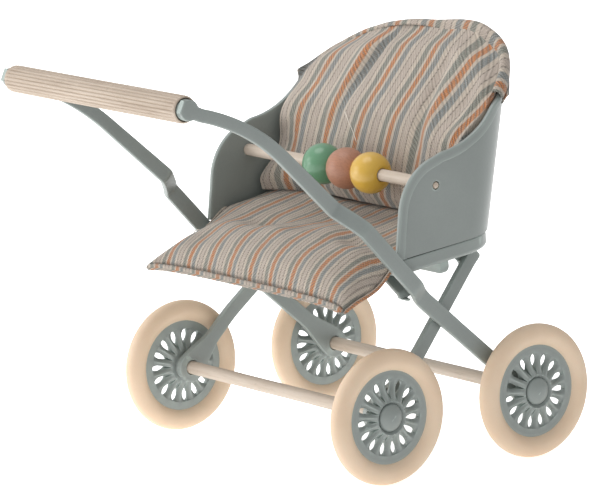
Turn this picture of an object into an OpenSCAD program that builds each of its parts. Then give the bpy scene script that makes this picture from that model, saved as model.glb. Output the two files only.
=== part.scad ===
// Doll stroller: two crossed bars a side, a sheet-metal bucket seat and four wheels on
// two turning wooden axles. The seat faces the handle.
//
// Millimetres. +X is to the right of whoever pushes, +Y is the way the stroller rolls
// when it is pushed, +Z is up. The floor is z = 0 and the origin is the middle of the
// footprint. Side views are drawn as (y, z) and front views as (x, z), both measured
// from the point on the floor midway between the axles; place() then moves the lot.

/* [Wheels] */
// Diameter over the tyres
wheel_d = 40; // [38:0.5:42]
// Width of a tyre
tyre_w = 5.4; // [5:0.1:6]
// Diameter of the pressed wheel disc
disc_d = 27.9; // [27:0.1:29]
// Number of drop-shaped windows in a disc
windows = 15; // [12:1:18]
// Distance between the middle planes of left and right wheels
track = 101.6; // [101:0.1:104]
// Distance between the axles
wheelbase = 55; // [53:0.5:57]
// Diameter of the wooden axles
axle_d = 4; // [3.6:0.1:4.2]

/* [Frame] */
// Width of a handle arm over most of its length
arm_w = 5.1; // [4.6:0.1:5.6]
// Width of a handle arm at the handle
arm_tip_w = 4.1; // [3.8:0.1:4.4]
// Thickness of a handle arm
arm_t = 1.6; // [1.4:0.1:1.8]
// Width of a strut
strut_w = 4.2; // [3.8:0.1:4.6]
// Thickness of a strut
strut_t = 2; // [1.8:0.1:2]
// Radius of the eye round an axle
eye_r = 4.5; // [4.2:0.1:4.8]
// Height of the handle
handle_z = 115.5; // [113:0.5:118]
// Distance of the handle behind the middle of the wheelbase
handle_back = 90.6; // [88:0.2:93]
// Diameter of the wooden grip over its flutes
grip_d = 8; // [7.6:0.1:8.4]
// Length of the grip
grip_len = 85; // [83:0.5:85]
// Number of flutes round the grip
flutes = 22; // [16:1:26]

/* [Seat] */
// Half of the width over the side panels
seat_hw = 46.2; // [45.8:0.1:46.2]
// Thickness of the seat metal
sheet_t = 1; // [0.8:0.1:1]
// Radius of the bucket's rear corners
corner_r = 15; // [13:0.5:17]
// Angle that the back leans backwards
back_lean = 9.5; // [8:0.5:11]
// Angle that the pan drops towards the handle
pan_tilt = 7; // [6:0.5:8]
// Height of the pan
pan_h = 4.5; // [4.2:0.1:4.7]
// Top of the backrest metal
back_top = 123.8; // [122:0.1:126]

/* [Beads] */
// Diameter of the rod that carries the beads
rod_d = 3.6; // [3.2:0.1:3.8]
// Diameter of a bead
bead_d = 12.5; // [12:0.1:12.8]
// Length of a bead along the rod
bead_len = 11.4; // [11:0.1:11.6]

/* [Hidden] */
$fn = 64;

paint = [0.58, 0.63, 0.60];
wood = [0.90, 0.85, 0.77];
rubber = [0.90, 0.80, 0.69];
cloth = [0.76, 0.70, 0.64];

wheel_r = wheel_d / 2;
front_y = wheelbase / 2;
rear_y = -wheelbase / 2;
handle_y = -handle_back;
// Moves the midpoint of the wheelbase so that the footprint is centred on the origin
shift_y = (handle_back + grip_d / 2 - front_y - wheel_r) / 2;
run_gap = 0.08;      // radial clearance of anything that turns or slides on a rod
reach = 200;         // longer than the whole model, for cutting solids

// Planes of the side bars, as the distance of each bar's middle from x = 0
eye_x = 46;          // at the axles
side_x = 47.8;       // beside the seat
waist_x = 41.3;      // just above the upper joggle
tip_x = 44;          // at the handle
strut_top_x = 39.8;
strut_eye_x = 45.8;

// Handle arm, side view: three straight runs and a bend up to the handle
lower_joggle = [-9.4, 51.1];
upper_joggle = [-34, 77];
bend_start = [-58, 98.6];
bend_r = 68;
bend_from = 48.5;    // direction of the bend's first point from its centre
bend_to = 73;

// Strut, side view and front view
strut_top = [14.3, 61.4];
strut_knee_z = 35;

// Seat, side view of the near-upright side panels
pan_z = 61.5;        // underside of the pan above the middle of the wheelbase
seat_front = -19;
seat_rear = 22;
lean_z = 67;         // height at which the back stands at seat_rear
rim_w = 2.8;         // raised border along the panel's edge
rim_t = 0.45;
nose = [-0.8, 76];   // centre of the round front corner of a side panel
nose_r = 17.5;
dip = [-6, 122.5];   // centre of the hollow between armrest and backrest
dip_r = 28.7;
crown_r = 89;        // long arc over the backrest
shoulder_r = 20;     // tighter arcs down to its sides

rod_y = -4.5;
rod_z = 84.5;
bead_pitch = bead_len + 0.2;
bead_first_x = -7.75;

// ---------------------------------------------------------------- helpers

module place() translate([0, shift_y, 0]) children();

// Extrudes a (y, z) outline along X, or an (x, z) outline along Y, about the middle
module along_x(len) rotate([90, 0, 90]) linear_extrude(len, center = true) children();
module along_y(len) rotate([90, 0, 0]) linear_extrude(len, center = true) children();

// A round bar along X at (y, z), from x0 to x1
module bar_x(r, x0, x1, y, z)
    translate([x0, y, z]) rotate([0, 90, 0]) cylinder(r = r, h = x1 - x0);

function unit(v) = v / norm(v);
function along(p, i) = unit(p[min(i + 1, len(p) - 1)] - p[max(i - 1, 0)]);
function across(v) = [-v[1], v[0]];
// Outline of a strip of given widths that follows the points p
function strip(p, w) = concat(
    [for (i = [0 : len(p) - 1]) p[i] + across(along(p, i)) * w[i] / 2],
    [for (i = [len(p) - 1 : -1 : 0]) p[i] - across(along(p, i)) * w[i] / 2]);
function same(p, w) = [for (q = p) w];
function arc(c, r, a0, a1, n) =
    [for (i = [0 : n]) c + r * [cos(a0 + (a1 - a0) * i / n), sin(a0 + (a1 - a0) * i / n)]];
function mirrored(p) = [for (i = [len(p) - 1 : -1 : 0]) [-p[i][0], p[i][1]]];

// Plan of the bucket: straight sides, open front, round rear corners
module bucket_plan(hw, front, rear, r) {
    translate([-hw, front]) square([2 * hw, rear - r - front]);
    translate([r - hw, front]) square([2 * (hw - r), rear - front]);
    for (s = [-1, 1]) translate([s * (hw - r), rear - r]) circle(r, $fn = 96);
}

// Wall that follows the plan, grown by out and thickened inwards by t
module bucket_ring(out, t) {
    difference() {
        bucket_plan(seat_hw + out, seat_front - 5, seat_rear + out, corner_r + out);
        bucket_plan(seat_hw + out - t, seat_front - 6, seat_rear + out - t, corner_r + out - t);
    }
}

// Frame of the leaning back, and frame of the pan
module leaning() translate([0, 0, lean_z]) rotate([-back_lean, 0, 0]) children();
module on_pan() translate([0, 0, pan_z]) rotate([pan_tilt, 0, 0]) children();

module leaning_wall(out, t)
    leaning() translate([0, 0, -15]) linear_extrude(85) bucket_ring(out, t);

// Side view of everything inside the panel's edge, drawn back by inset
function panel_edge(inset) = concat(
    [[seat_front - 0.6 + inset, 50]],
    arc(nose, nose_r - inset, 180, 100, 12),
    arc(dip, dip_r + inset, -86, -21, 12),
    [[20.8 + inset, 140], [70, 140], [70, 50]]);
module panel_side(inset) along_x(reach) polygon(panel_edge(inset));

// Front view of the arched back: one long arc between two tighter shoulders
shoulder_x = seat_hw + 1 - shoulder_r;
shoulder_a = asin(shoulder_x / (crown_r - shoulder_r));
crown_z = back_top - crown_r;
shoulder_z = crown_z + (crown_r - shoulder_r) * cos(shoulder_a);
function shoulder(out) =
    arc([shoulder_x, shoulder_z], shoulder_r + out, 0, 90 - shoulder_a, 12);
module arch(out) along_y(reach) polygon(concat(
    [[shoulder_x + shoulder_r + out, 40]],
    shoulder(out),
    arc([0, crown_z], crown_r + out, 92 - shoulder_a, 88 + shoulder_a, 24),
    mirrored(shoulder(out)),
    [[-shoulder_x - shoulder_r - out, 40]]));

// ---------------------------------------------------------------- frame

// Bar of given side view and front view, with an eye that turns on an axle
module flat_bar(side, side_w, front, t, axle_y) {
    difference() {
        union() {
            intersection() {
                along_x(reach) polygon(strip(side, side_w));
                along_y(reach * 2) polygon(strip(front, same(front, t)));
            }
            bar_x(eye_r, front[0][0] - t / 2, front[0][0] + t / 2, axle_y, wheel_r);
            children();
        }
        bar_x(axle_d / 2 + run_gap, 0, reach, axle_y, wheel_r);
    }
}

bend_centre = bend_start - bend_r * [cos(bend_from), sin(bend_from)];
arm_foot = unit(lower_joggle - [front_y, wheel_r]);
arm_side = concat(
    [[front_y, wheel_r], [front_y, wheel_r] + 5 * arm_foot, [front_y, wheel_r] + 15 * arm_foot],
    [lower_joggle, upper_joggle],
    arc(bend_centre, bend_r, bend_from, bend_to, 8),
    [[handle_y, handle_z]]);
arm_side_w = concat([8.2, 7.2, arm_w, arm_w, arm_w],
    [for (i = [0 : 8]) arm_w + (arm_tip_w - arm_w) * (i + 1) / 9], [arm_tip_w]);
arm_front = [
    [eye_x, 5], [eye_x, 52.2], [side_x, 55.6], [side_x, 75],
    [waist_x, 80.6], [tip_x, 104], [tip_x, 130]];

module handle_arm(side) color(paint) place() {
    mirror([side < 0 ? 1 : 0, 0, 0])
        flat_bar(arm_side, arm_side_w, arm_front, arm_t, front_y)
            bar_x(boss_r, tip_x - arm_t / 2, tip_x + arm_t / 2, handle_y, handle_z);
}

strut_foot = unit(strut_top - [rear_y, wheel_r]);
strut_side = [
    [rear_y, wheel_r], [rear_y, wheel_r] + 5 * strut_foot, [rear_y, wheel_r] + 13 * strut_foot,
    strut_top];
strut_side_w = [8, 6.6, strut_w, strut_w];
strut_front = [
    [strut_eye_x, 5], [strut_eye_x, strut_knee_z], [strut_top_x, 60], [strut_top_x, 66]];

module strut(side) color(paint) place() {
    mirror([side < 0 ? 1 : 0, 0, 0])
        flat_bar(strut_side, strut_side_w, strut_front, strut_t, rear_y);
}

boss_r = arm_tip_w / 2 + 0.8;
boss_in = 0.8;       // how far a boss stands inside the grip's end
rod_r = 1.5;

// Steel rod through the grip, with a round boss against each arm
module handle_rod() color(paint) place() {
    half = tip_x - arm_t / 2;
    bar_x(rod_r, -half, half, handle_y, handle_z);
    for (s = [-1, 1]) mirror([s < 0 ? 1 : 0, 0, 0])
        bar_x(boss_r, grip_len / 2 - boss_in, half, handle_y, handle_z);
}

flute_depth = 0.22;
function flute(a) = grip_d / 2 - flute_depth * pow(abs(cos(a * flutes / 2)), 6);

module handle_grip() color(wood) place() {
    translate([-grip_len / 2, handle_y, handle_z]) rotate([0, 90, 0]) difference() {
        linear_extrude(grip_len)
            polygon([for (i = [0 : flutes * 8 - 1]) let (a = i * 45 / flutes)
                flute(a) * [cos(a), sin(a)]]);
        translate([0, 0, -1]) cylinder(r = rod_r + run_gap, h = grip_len + 2);
        for (z = [-1, grip_len - boss_in - 0.4])
            translate([0, 0, z]) cylinder(r = boss_r + 0.35, h = boss_in + 1.4);
    }
}

// ---------------------------------------------------------------- under the seat

strap_t = 1.2;
strap_w = 5;
front_strap_y = -16;
rear_strap_y = 11;
rivet_r = 1;
rivet_x = 20;
rivet_spots = [for (y = [front_strap_y, rear_strap_y], s = [-1, 1]) [s * rivet_x, y]];

module rivet_holes() for (p = rivet_spots)
    translate([p[0], p[1], -5]) cylinder(r = rivet_r, h = 10, $fn = 32);

// Strap with its ends turned down against the arms or the struts
module cross_strap(half, y) color(paint) place() on_pan() difference() {
    translate([0, y, 0]) along_y(strap_w) polygon(strip(
        concat(half, mirrored(half)), same(concat(half, half), strap_t)));
    rivet_holes();
}

front_half = [[44.4, -7.8], [44.4, -5.6], [36.5, -strap_t / 2]];
rear_half = [[38.2, -4.6], [38.2, -strap_t / 2 - 1], [37.2, -strap_t / 2]];

module front_cross_strap() cross_strap(front_half, front_strap_y);
module rear_cross_strap() cross_strap(rear_half, rear_strap_y);

rib_w = 3.6;
rib_h = 3.8;
rib_t = 0.8;
rib_half = 44;
rib_r = 1.2;         // its lower corners

module rib_section(w, h, r) {
    translate([-w / 2, r - h]) square([w, h - r]);
    translate([r - w / 2, -h]) square([w - 2 * r, h]);
    for (s = [-1, 1]) translate([s * (w / 2 - r), r - h]) circle(r);
}

// Pressed gutter that stiffens the pan from below
module pan_rib() color(paint) place() on_pan() along_x(2 * rib_half) difference() {
    rib_section(rib_w, rib_h, rib_r);
    translate([0, 1]) rib_section(rib_w - 2 * rib_t, rib_h + 1 - rib_t, rib_r - rib_t);
}

module pan_rivets() color(paint) place() on_pan() for (p = rivet_spots)
    translate([p[0], p[1], 0]) {
        translate([0, 0, -strap_t]) cylinder(r = rivet_r, h = strap_t + sheet_t, $fn = 32);
        translate([0, 0, sheet_t]) cylinder(r1 = 1.8, r2 = 1.2, h = 0.6, $fn = 32);
        translate([0, 0, -strap_t - 0.6]) cylinder(r1 = 1.2, r2 = 1.8, h = 0.6, $fn = 32);
    }

// ---------------------------------------------------------------- seat

pan_wall = 0.8;
pan_gap = 0.3;       // dark line between the pan's rim and the shell

module seat_pan() color(paint) place() on_pan() difference() {
    linear_extrude(pan_h) bucket_plan(seat_hw, seat_front, seat_rear + 0.4, corner_r);
    translate([0, 0, sheet_t]) linear_extrude(pan_h) bucket_plan(
        seat_hw - pan_wall, seat_front - 1, seat_rear + 0.4 - pan_wall, corner_r - pan_wall);
    rivet_holes();
}

module shell_skirt() on_pan() translate([0, 0, sheet_t]) linear_extrude(pan_h + 0.4) difference() {
    bucket_plan(seat_hw - 0.9, seat_front + 1, seat_rear - 0.5, corner_r - 0.9);
    bucket_plan(seat_hw - 2.1, seat_front, seat_rear - 1.7, corner_r - 2.1);
}

module seat_shell() color(paint) place() difference() {
    union() {
        difference() {
            intersection() {
                leaning_wall(0, sheet_t);
                panel_side(0);
                arch(0);
            }
            on_pan() translate([-reach / 2, -reach / 2, pan_h + pan_gap - reach]) cube(reach);
        }
        difference() {
            intersection() {
                leaning_wall(rim_t, rim_t + sheet_t / 2);
                panel_side(0);
            }
            panel_side(rim_w);
            translate([-reach / 2, -reach / 2, 113]) cube(reach);
            on_pan() translate([-reach / 2, -reach / 2, pan_h + pan_gap - reach]) cube(reach);
        }
        shell_skirt();
    }
    bar_x(tenon_r + 0.05, -reach, reach, rod_y, rod_z);
}

// ---------------------------------------------------------------- soft parts

// Side view of the seat cushion: flat on the pan, then puffed up in front of it
seat_pad = [
    [12, 65.1], [-19, 61.2], [-22, 59], [-28, 55], [-34, 52.4], [-39.4, 51.4], [-39.4, 54.6],
    [-37.6, 59], [-34, 63], [-29, 65.8], [-24, 67], [-15, 68.3], [-8, 70], [3, 72.4],
    [12, 72.4]];

module seat_cushion() color(cloth) place() intersection() {
    along_x(reach) polygon(seat_pad);
    translate([0, 0, 40]) linear_extrude(40) {
        bucket_plan(seat_hw - 2.5, -30, seat_rear - 2.1, corner_r - 2.5);
        translate([-seat_hw, -60]) square([2 * seat_hw, 60 - 22.5]);
    }
}

back_pad = [
    [3, 73], [4.6, 84], [10, 98], [17, 108], [25, 119], [28, 126], [60, 126], [60, 73]];

module back_cushion() color(cloth) place() intersection() {
    along_x(reach) polygon(back_pad);
    leaning() linear_extrude(70) bucket_plan(
        seat_hw - sheet_t - 0.3, -30, seat_rear - sheet_t - 0.3, corner_r - sheet_t - 0.3);
    arch(-0.5);
}

// Pocket of cloth that hangs over the back of the metal
module back_cover() color(cloth) place() intersection() {
    leaning_wall(1.5, 0.8);
    panel_side(0.3);
    arch(1.2);
    translate([-reach / 2, -reach / 2, 104]) cube(reach);
}

// ---------------------------------------------------------------- bead rod and beads

tenon_r = 0.95;

module bead_rod() color(wood) place() {
    half = seat_hw - sheet_t;
    bar_x(rod_d / 2, -half, half, rod_y, rod_z);
    bar_x(tenon_r, -half - 1.7, half + 1.7, rod_y, rod_z);
}

module bead(i, tone) color(tone) place()
    translate([bead_first_x + i * bead_pitch, rod_y, rod_z]) rotate([0, 90, 0]) difference() {
        intersection() {
            sphere(d = bead_d);
            cube([bead_d + 1, bead_d + 1, bead_len], center = true);
        }
        cylinder(d = rod_d + 2 * run_gap, h = bead_d, center = true);
    }

// ---------------------------------------------------------------- wheels

disc_r = disc_d / 2;
disc_t = 2.2;        // thickness of the disc's rim
dome_r = 4.2;
dome_x = 3.2;        // how far the dome stands out from the wheel's middle plane
hub_in = track / 2 - eye_x - arm_t / 2 - 0.3;   // inner end of the hub, clear of the eye
window_in = 4.7;     // inner and outer ends of a window, as radii
window_out = 10.8;
window_w = 2.3;
rib_thick = 0.8;
axle_end = 1.4;      // the axle's end beyond the wheel's middle plane

module axle(y) color(wood) place()
    bar_x(axle_d / 2, -track / 2 - axle_end, track / 2 + axle_end, y, wheel_r);

// Turns a wheel drawn on +Z so that +Z points outwards, and carries it to its place
module at_wheel(side, y) place() translate([side * track / 2, y, wheel_r])
    rotate([0, side * 90, 0]) children();

// Half the tyre's section is an ellipse cut off where the disc sits
tyre_mid = disc_r + 1.65;
function tyre_section() = [for (i = [0 : 24]) let (a = -112 + i * 224 / 24)
    [max(disc_r, tyre_mid + (wheel_r - tyre_mid) * cos(a)), tyre_w / 2 * sin(a)]];

module tyre(side, y) color(rubber) at_wheel(side, y)
    rotate_extrude($fn = 96) polygon(tyre_section());

module window_shape() polygon(concat(
    [[window_in, 0]],
    arc([window_out - window_w / 2, 0], window_w / 2, -100, 100, 10)));

// Rib between two windows, rising from the rim to the dome and, inside, to the hub
module wheel_rib() rotate([90, 0, 0]) linear_extrude(rib_thick, center = true)
    polygon([[1, -hub_in + 0.8], [3.2, -hub_in + 0.8], [11.2, -disc_t / 2], [11.2, disc_t / 2],
        [dome_r, dome_x - 0.5], [1, dome_x - 0.5]]);

module wheel(side, y) color(paint) at_wheel(side, y) difference() {
    union() {
        difference() {
            translate([0, 0, -disc_t / 2]) cylinder(r = disc_r, h = disc_t, $fn = 96);
            for (i = [0 : windows - 1]) rotate(i * 360 / windows)
                translate([0, 0, -disc_t]) linear_extrude(2 * disc_t) window_shape();
        }
        for (i = [0 : windows - 1]) rotate((i + 0.5) * 360 / windows) wheel_rib();
        translate([0, 0, -hub_in]) cylinder(r = 3.6, h = hub_in + 1);
        cylinder(r = dome_r, h = dome_x - 0.7);
        translate([0, 0, dome_x - 0.7]) cylinder(r1 = dome_r, r2 = 2.6, h = 0.7);
    }
    translate([0, 0, -hub_in - 1]) cylinder(d = axle_d, h = hub_in + 1 + axle_end);
}

// ---------------------------------------------------------------- the nodes

handle_arm(-1);  // handle_arm_left
handle_arm(1);  // handle_arm_right
handle_rod();
handle_grip();
strut(-1);  // strut_left
strut(1);  // strut_right
front_cross_strap();
pan_rib();
rear_cross_strap();
pan_rivets();
seat_pan();
seat_shell();
seat_cushion();
back_cushion();
back_cover();
bead_rod();
bead(0, [0.41, 0.61, 0.47]);  // bead_green
bead(1, [0.73, 0.51, 0.41]);  // bead_tan
bead(2, [0.84, 0.69, 0.25]);  // bead_yellow
axle(front_y);  // axle_front
axle(rear_y);  // axle_rear
tyre(-1, front_y);  // tyre_front_left
tyre(1, front_y);  // tyre_front_right
tyre(-1, rear_y);  // tyre_rear_left
tyre(1, rear_y);  // tyre_rear_right
wheel(-1, front_y);  // wheel_front_left
wheel(1, front_y);  // wheel_front_right
wheel(-1, rear_y);  // wheel_rear_left
wheel(1, rear_y);  // wheel_rear_right
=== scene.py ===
"""Looks of the doll stroller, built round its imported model. Metres, in the model's own frame."""
from math import acos, asin, copysign, cos, dist, exp, pi, radians, sin, sqrt

import bmesh
import bpy
import numpy as np
from mathutils import Matrix, Vector, noise


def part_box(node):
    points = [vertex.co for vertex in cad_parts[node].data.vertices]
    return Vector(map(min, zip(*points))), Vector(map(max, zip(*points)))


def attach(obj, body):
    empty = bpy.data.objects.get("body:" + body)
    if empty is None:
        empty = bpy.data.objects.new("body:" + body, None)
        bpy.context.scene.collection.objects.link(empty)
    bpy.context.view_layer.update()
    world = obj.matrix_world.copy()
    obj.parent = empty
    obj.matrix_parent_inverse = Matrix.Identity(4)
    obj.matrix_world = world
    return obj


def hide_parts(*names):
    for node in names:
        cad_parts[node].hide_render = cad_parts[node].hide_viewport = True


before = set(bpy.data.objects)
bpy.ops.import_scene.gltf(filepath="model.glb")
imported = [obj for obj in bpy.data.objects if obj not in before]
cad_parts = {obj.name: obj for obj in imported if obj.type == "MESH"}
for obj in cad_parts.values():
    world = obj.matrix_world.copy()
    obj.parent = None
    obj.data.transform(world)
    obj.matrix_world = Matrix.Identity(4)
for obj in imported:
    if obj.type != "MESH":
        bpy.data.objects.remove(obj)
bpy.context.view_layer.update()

MM = 0.001


def middle(node):
    lo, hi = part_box(node)
    return (lo + hi) / 2


FRONT_AXLE, REAR_AXLE = middle("axle_front"), middle("axle_rear")
GRIP = middle("handle_grip")
ROD = middle("bead_rod")
MID_Y = (FRONT_AXLE.y + REAR_AXLE.y) / 2
TRACK = middle("tyre_front_right").x - middle("tyre_front_left").x


def at(x, y, z):
    """A point given in millimetres from the floor midway between the axles."""
    return Vector((x * MM, MID_Y + y * MM, z * MM))


def smooth(a, b, t):
    """0 below a, 1 above b, and a soft step between them."""
    t = np.clip((t - a) / (b - a), 0, 1)
    return t * t * (3 - 2 * t)


def bump(t, centre, width):
    """A bell curve, 1 at its centre."""
    return np.exp(-(((t - centre) / width) ** 2))


def line(points, t):
    """A broken line through (t, value) points."""
    xs, ys = zip(*points)
    return np.interp(t, xs, ys)


def curve(points, t):
    """A smooth curve through (t, value) points."""
    xs, ys = np.array(points, float).T
    slopes = np.gradient(ys, xs)
    t = np.clip(t, xs[0], xs[-1])
    i = np.clip(np.searchsorted(xs, t) - 1, 0, len(xs) - 2)
    h = xs[i + 1] - xs[i]
    s = (t - xs[i]) / h
    return (
        (2 * s**3 - 3 * s**2 + 1) * ys[i] + (s**3 - 2 * s**2 + s) * h * slopes[i]
        + (3 * s**2 - 2 * s**3) * ys[i + 1] + (s**3 - s**2) * h * slopes[i + 1]
    )


# ---------------------------------------------------------------- materials

class Nodes:
    """Short names for the shader nodes that the materials below use."""

    def __init__(self, name):
        self.material = bpy.data.materials.new(name)
        self.material.use_nodes = True
        self.tree = self.material.node_tree
        self.shader = self.tree.nodes["Principled BSDF"]

    def new(self, kind, **settings):
        node = self.tree.nodes.new("ShaderNode" + kind)
        for key, value in settings.items():
            setattr(node, key, value)
        return node

    def put(self, socket, value):
        """Links a socket to another, or gives it a plain value."""
        if isinstance(value, bpy.types.NodeSocket):
            self.tree.links.new(value, socket)
        elif value is not None:
            socket.default_value = value

    def fill(self, node, **sockets):
        for name, value in sockets.items():
            self.put(node.inputs[name.replace("_", " ")], value)
        return node

    def math(self, operation, *values):
        node = self.new("Math", operation=operation)
        for socket, value in zip(node.inputs, values):
            self.put(socket, value)
        return node.outputs[0]

    def add(self, a, b):
        return self.math("ADD", a, b)

    def times(self, a, b):
        return self.math("MULTIPLY", a, b)

    def wave(self, value, period):
        return self.math("SINE", self.times(value, 2 * pi / period))

    def place(self, scale=(1, 1, 1), attribute=None):
        """Object coordinates, or a named attribute, scaled."""
        if attribute:
            out = self.new("Attribute", attribute_name=attribute).outputs["Vector"]
        else:
            out = self.new("TexCoord").outputs["Object"]
        return self.fill(self.new("Mapping"), Vector=out, Scale=scale).outputs[0]

    def split(self, vector):
        return self.fill(self.new("SeparateXYZ"), Vector=vector).outputs

    def noise(self, vector, scale, detail=3.0, rough=0.5):
        node = self.fill(self.new("TexNoise"), Vector=vector, Scale=scale, Detail=detail,
                         Roughness=rough)
        return node.outputs["Fac"]

    def ramp(self, fac, stops, interpolation="LINEAR"):
        node = self.new("ValToRGB")
        node.color_ramp.interpolation = interpolation
        elements = node.color_ramp.elements
        while len(elements) < len(stops):
            elements.new(0.5)
        for element, (position, colour) in zip(elements, stops):
            element.position = position
            element.color = (*colour, 1)
        self.put(node.inputs[0], fac)
        return node.outputs[0]

    def grey(self, fac, stops, interpolation="LINEAR"):
        return self.ramp(fac, [(p, (v, v, v)) for p, v in stops], interpolation)

    def soft(self, fac, low, high):
        """From one grey or colour to another over the middle of a noise."""
        ramp = self.ramp if isinstance(low, tuple) else self.grey
        return ramp(fac, [(0.3, low), (0.7, high)])

    def mix(self, fac, a, b):
        node = self.new("Mix", data_type="RGBA")
        for index, value in ((0, fac), (6, a), (7, b)):
            self.put(node.inputs[index], (*value, 1) if isinstance(value, tuple) else value)
        return node.outputs[2]

    def tint(self, base, colour, fac, low, high, share):
        """The base with a share of a colour mixed in, as fac goes from low to high."""
        return self.mix(self.grey(fac, [(low, 0.0), (high, share)]), base, colour)

    def bumped(self, height, distance, strength, normal=None):
        node = self.fill(self.new("Bump"), Strength=strength, Distance=distance, Height=height,
                         Normal=normal)
        return node.outputs[0]

    def edges(self):
        """Pointiness: over a half on outer edges, a half on flats."""
        return self.new("NewGeometry").outputs["Pointiness"]

    def finish(self, **sockets):
        self.fill(self.shader, **sockets)
        return self.material


def srgb(r, g, b):
    """A colour given as it looks on screen, 0 to 255, as the shader wants it."""
    def linear(c):
        c /= 255
        return c / 12.92 if c <= 0.04045 else ((c + 0.055) / 1.055) ** 2.4
    return (linear(r), linear(g), linear(b))


def paint():
    n = Nodes("grey_green_paint")
    where = n.place()
    cloudy = n.noise(where, 45, 3)
    speck = n.noise(where, 1400, 4, 0.7)
    base = n.soft(cloudy, srgb(136, 143, 140), srgb(144, 151, 148))
    base = n.tint(base, srgb(110, 119, 116), speck, 0.35, 0.75, 0.12)
    # Lighter paint on convex edges: a little edge wear, but mostly a painted highlight where edges
    # catch the light.
    base = n.tint(base, srgb(168, 180, 175), n.edges(), 0.505, 0.57, 1)
    peel = n.bumped(n.noise(where, 900, 2), 0.00006, 0.35)
    return n.finish(
        Base_Color=base, Roughness=n.soft(cloudy, 0.36, 0.46), Normal=peel,
        Coat_Weight=0.25, Coat_Roughness=0.3)


def wood(name, dark, light, gloss=0.55):
    """Fine straight grain along X."""
    n = Nodes(name)
    where = n.place((0.06, 1, 1))
    grain = n.noise(where, 700, 5, 0.62)
    broad = n.noise(where, 170, 3)
    pores = n.noise(n.place((0.12, 1, 1)), 2600, 2, 0.7)
    base = n.ramp(grain, [(0.32, dark), (0.62, light)])
    base = n.tint(base, dark, broad, 0.4, 0.7, 0.35)
    base = n.tint(base, tuple(c * 0.55 for c in dark), pores, 0.62, 0.75, 0.4)
    return n.finish(
        Base_Color=base, Roughness=n.soft(grain, gloss + 0.1, gloss),
        Normal=n.bumped(grain, 0.00012, 0.4))


def rubber():
    n = Nodes("cream_rubber")
    where = n.place()
    cloudy = n.noise(where, 60, 3)
    fine = n.noise(where, 1800, 3, 0.6)
    base = n.soft(cloudy, srgb(222, 196, 168), srgb(231, 208, 182))
    base = n.tint(base, srgb(205, 176, 146), fine, 0.55, 0.8, 0.15)
    return n.finish(
        Base_Color=base, Roughness=n.soft(fine, 0.48, 0.6),
        Normal=n.bumped(fine, 0.00005, 0.5),
        Subsurface_Weight=0.12, Subsurface_Radius=(0.9, 0.5, 0.3), Subsurface_Scale=0.002)


def lacquer(name, colour, grain, gloss, coat):
    """Painted wooden bead: brush lines round the bore, and the wood's grain showing through."""
    n = Nodes(name)
    dark = tuple(c * 0.72 for c in colour)
    where = n.place()
    rings = n.noise(n.place((1, 0.12, 0.12)), 1500, 3, 0.6)
    pores = n.noise(n.place((0.16, 1, 1)), 1700, 4, 0.7)
    cloudy = n.noise(where, 120, 2)
    base = n.tint(colour, dark, pores, 0.45, 0.7, grain)
    base = n.tint(base, dark, cloudy, 0.35, 0.7, 0.3)
    height = n.add(n.times(pores, grain), n.times(rings, 0.35))
    return n.finish(
        Base_Color=base, Roughness=n.soft(cloudy, gloss, gloss + 0.08),
        Normal=n.bumped(height, 0.00012, 0.5), Coat_Weight=coat, Coat_Roughness=0.12)


CREAM = srgb(200, 187, 172)
PINKISH = srgb(188, 174, 162)
BLUE = srgb(132, 138, 138)
GREEN = srgb(132, 135, 126)
ORANGE = srgb(192, 122, 70)


def stripes(orange, band, dots):
    """Colour stops over one repeat, each edge a little soft: orange in the middle of a band
    of cream, then blue, cream, pinkish with dotted lines, cream, green and cream again."""
    edges = [(orange, ORANGE, CREAM), (band[0], CREAM, BLUE), (band[1], BLUE, CREAM),
             (dots[0] - 0.02, CREAM, PINKISH), (dots[-1] + 0.02, PINKISH, CREAM),
             (1 - band[1], CREAM, GREEN), (1 - band[0], GREEN, CREAM), (1 - orange, CREAM, ORANGE)]
    stops = [(0, ORANGE)]
    for place, before, after in edges:
        stops += [(place - 0.012, before), (place + 0.012, after)]
    return stops


# Shares of a stripe repeat: half the orange line, one band's edges, and the two dotted lines
SEAT_STRIPES = (0.078, (0.14, 0.29), (0.41, 0.59))
BACK_STRIPES = (0.065, (0.135, 0.285), (0.40, 0.59))
SEAT_PITCH, SEAT_SHIFT = 10.05, 0.5
YARN = 0.8                          # millimetres from yarn to yarn


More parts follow.
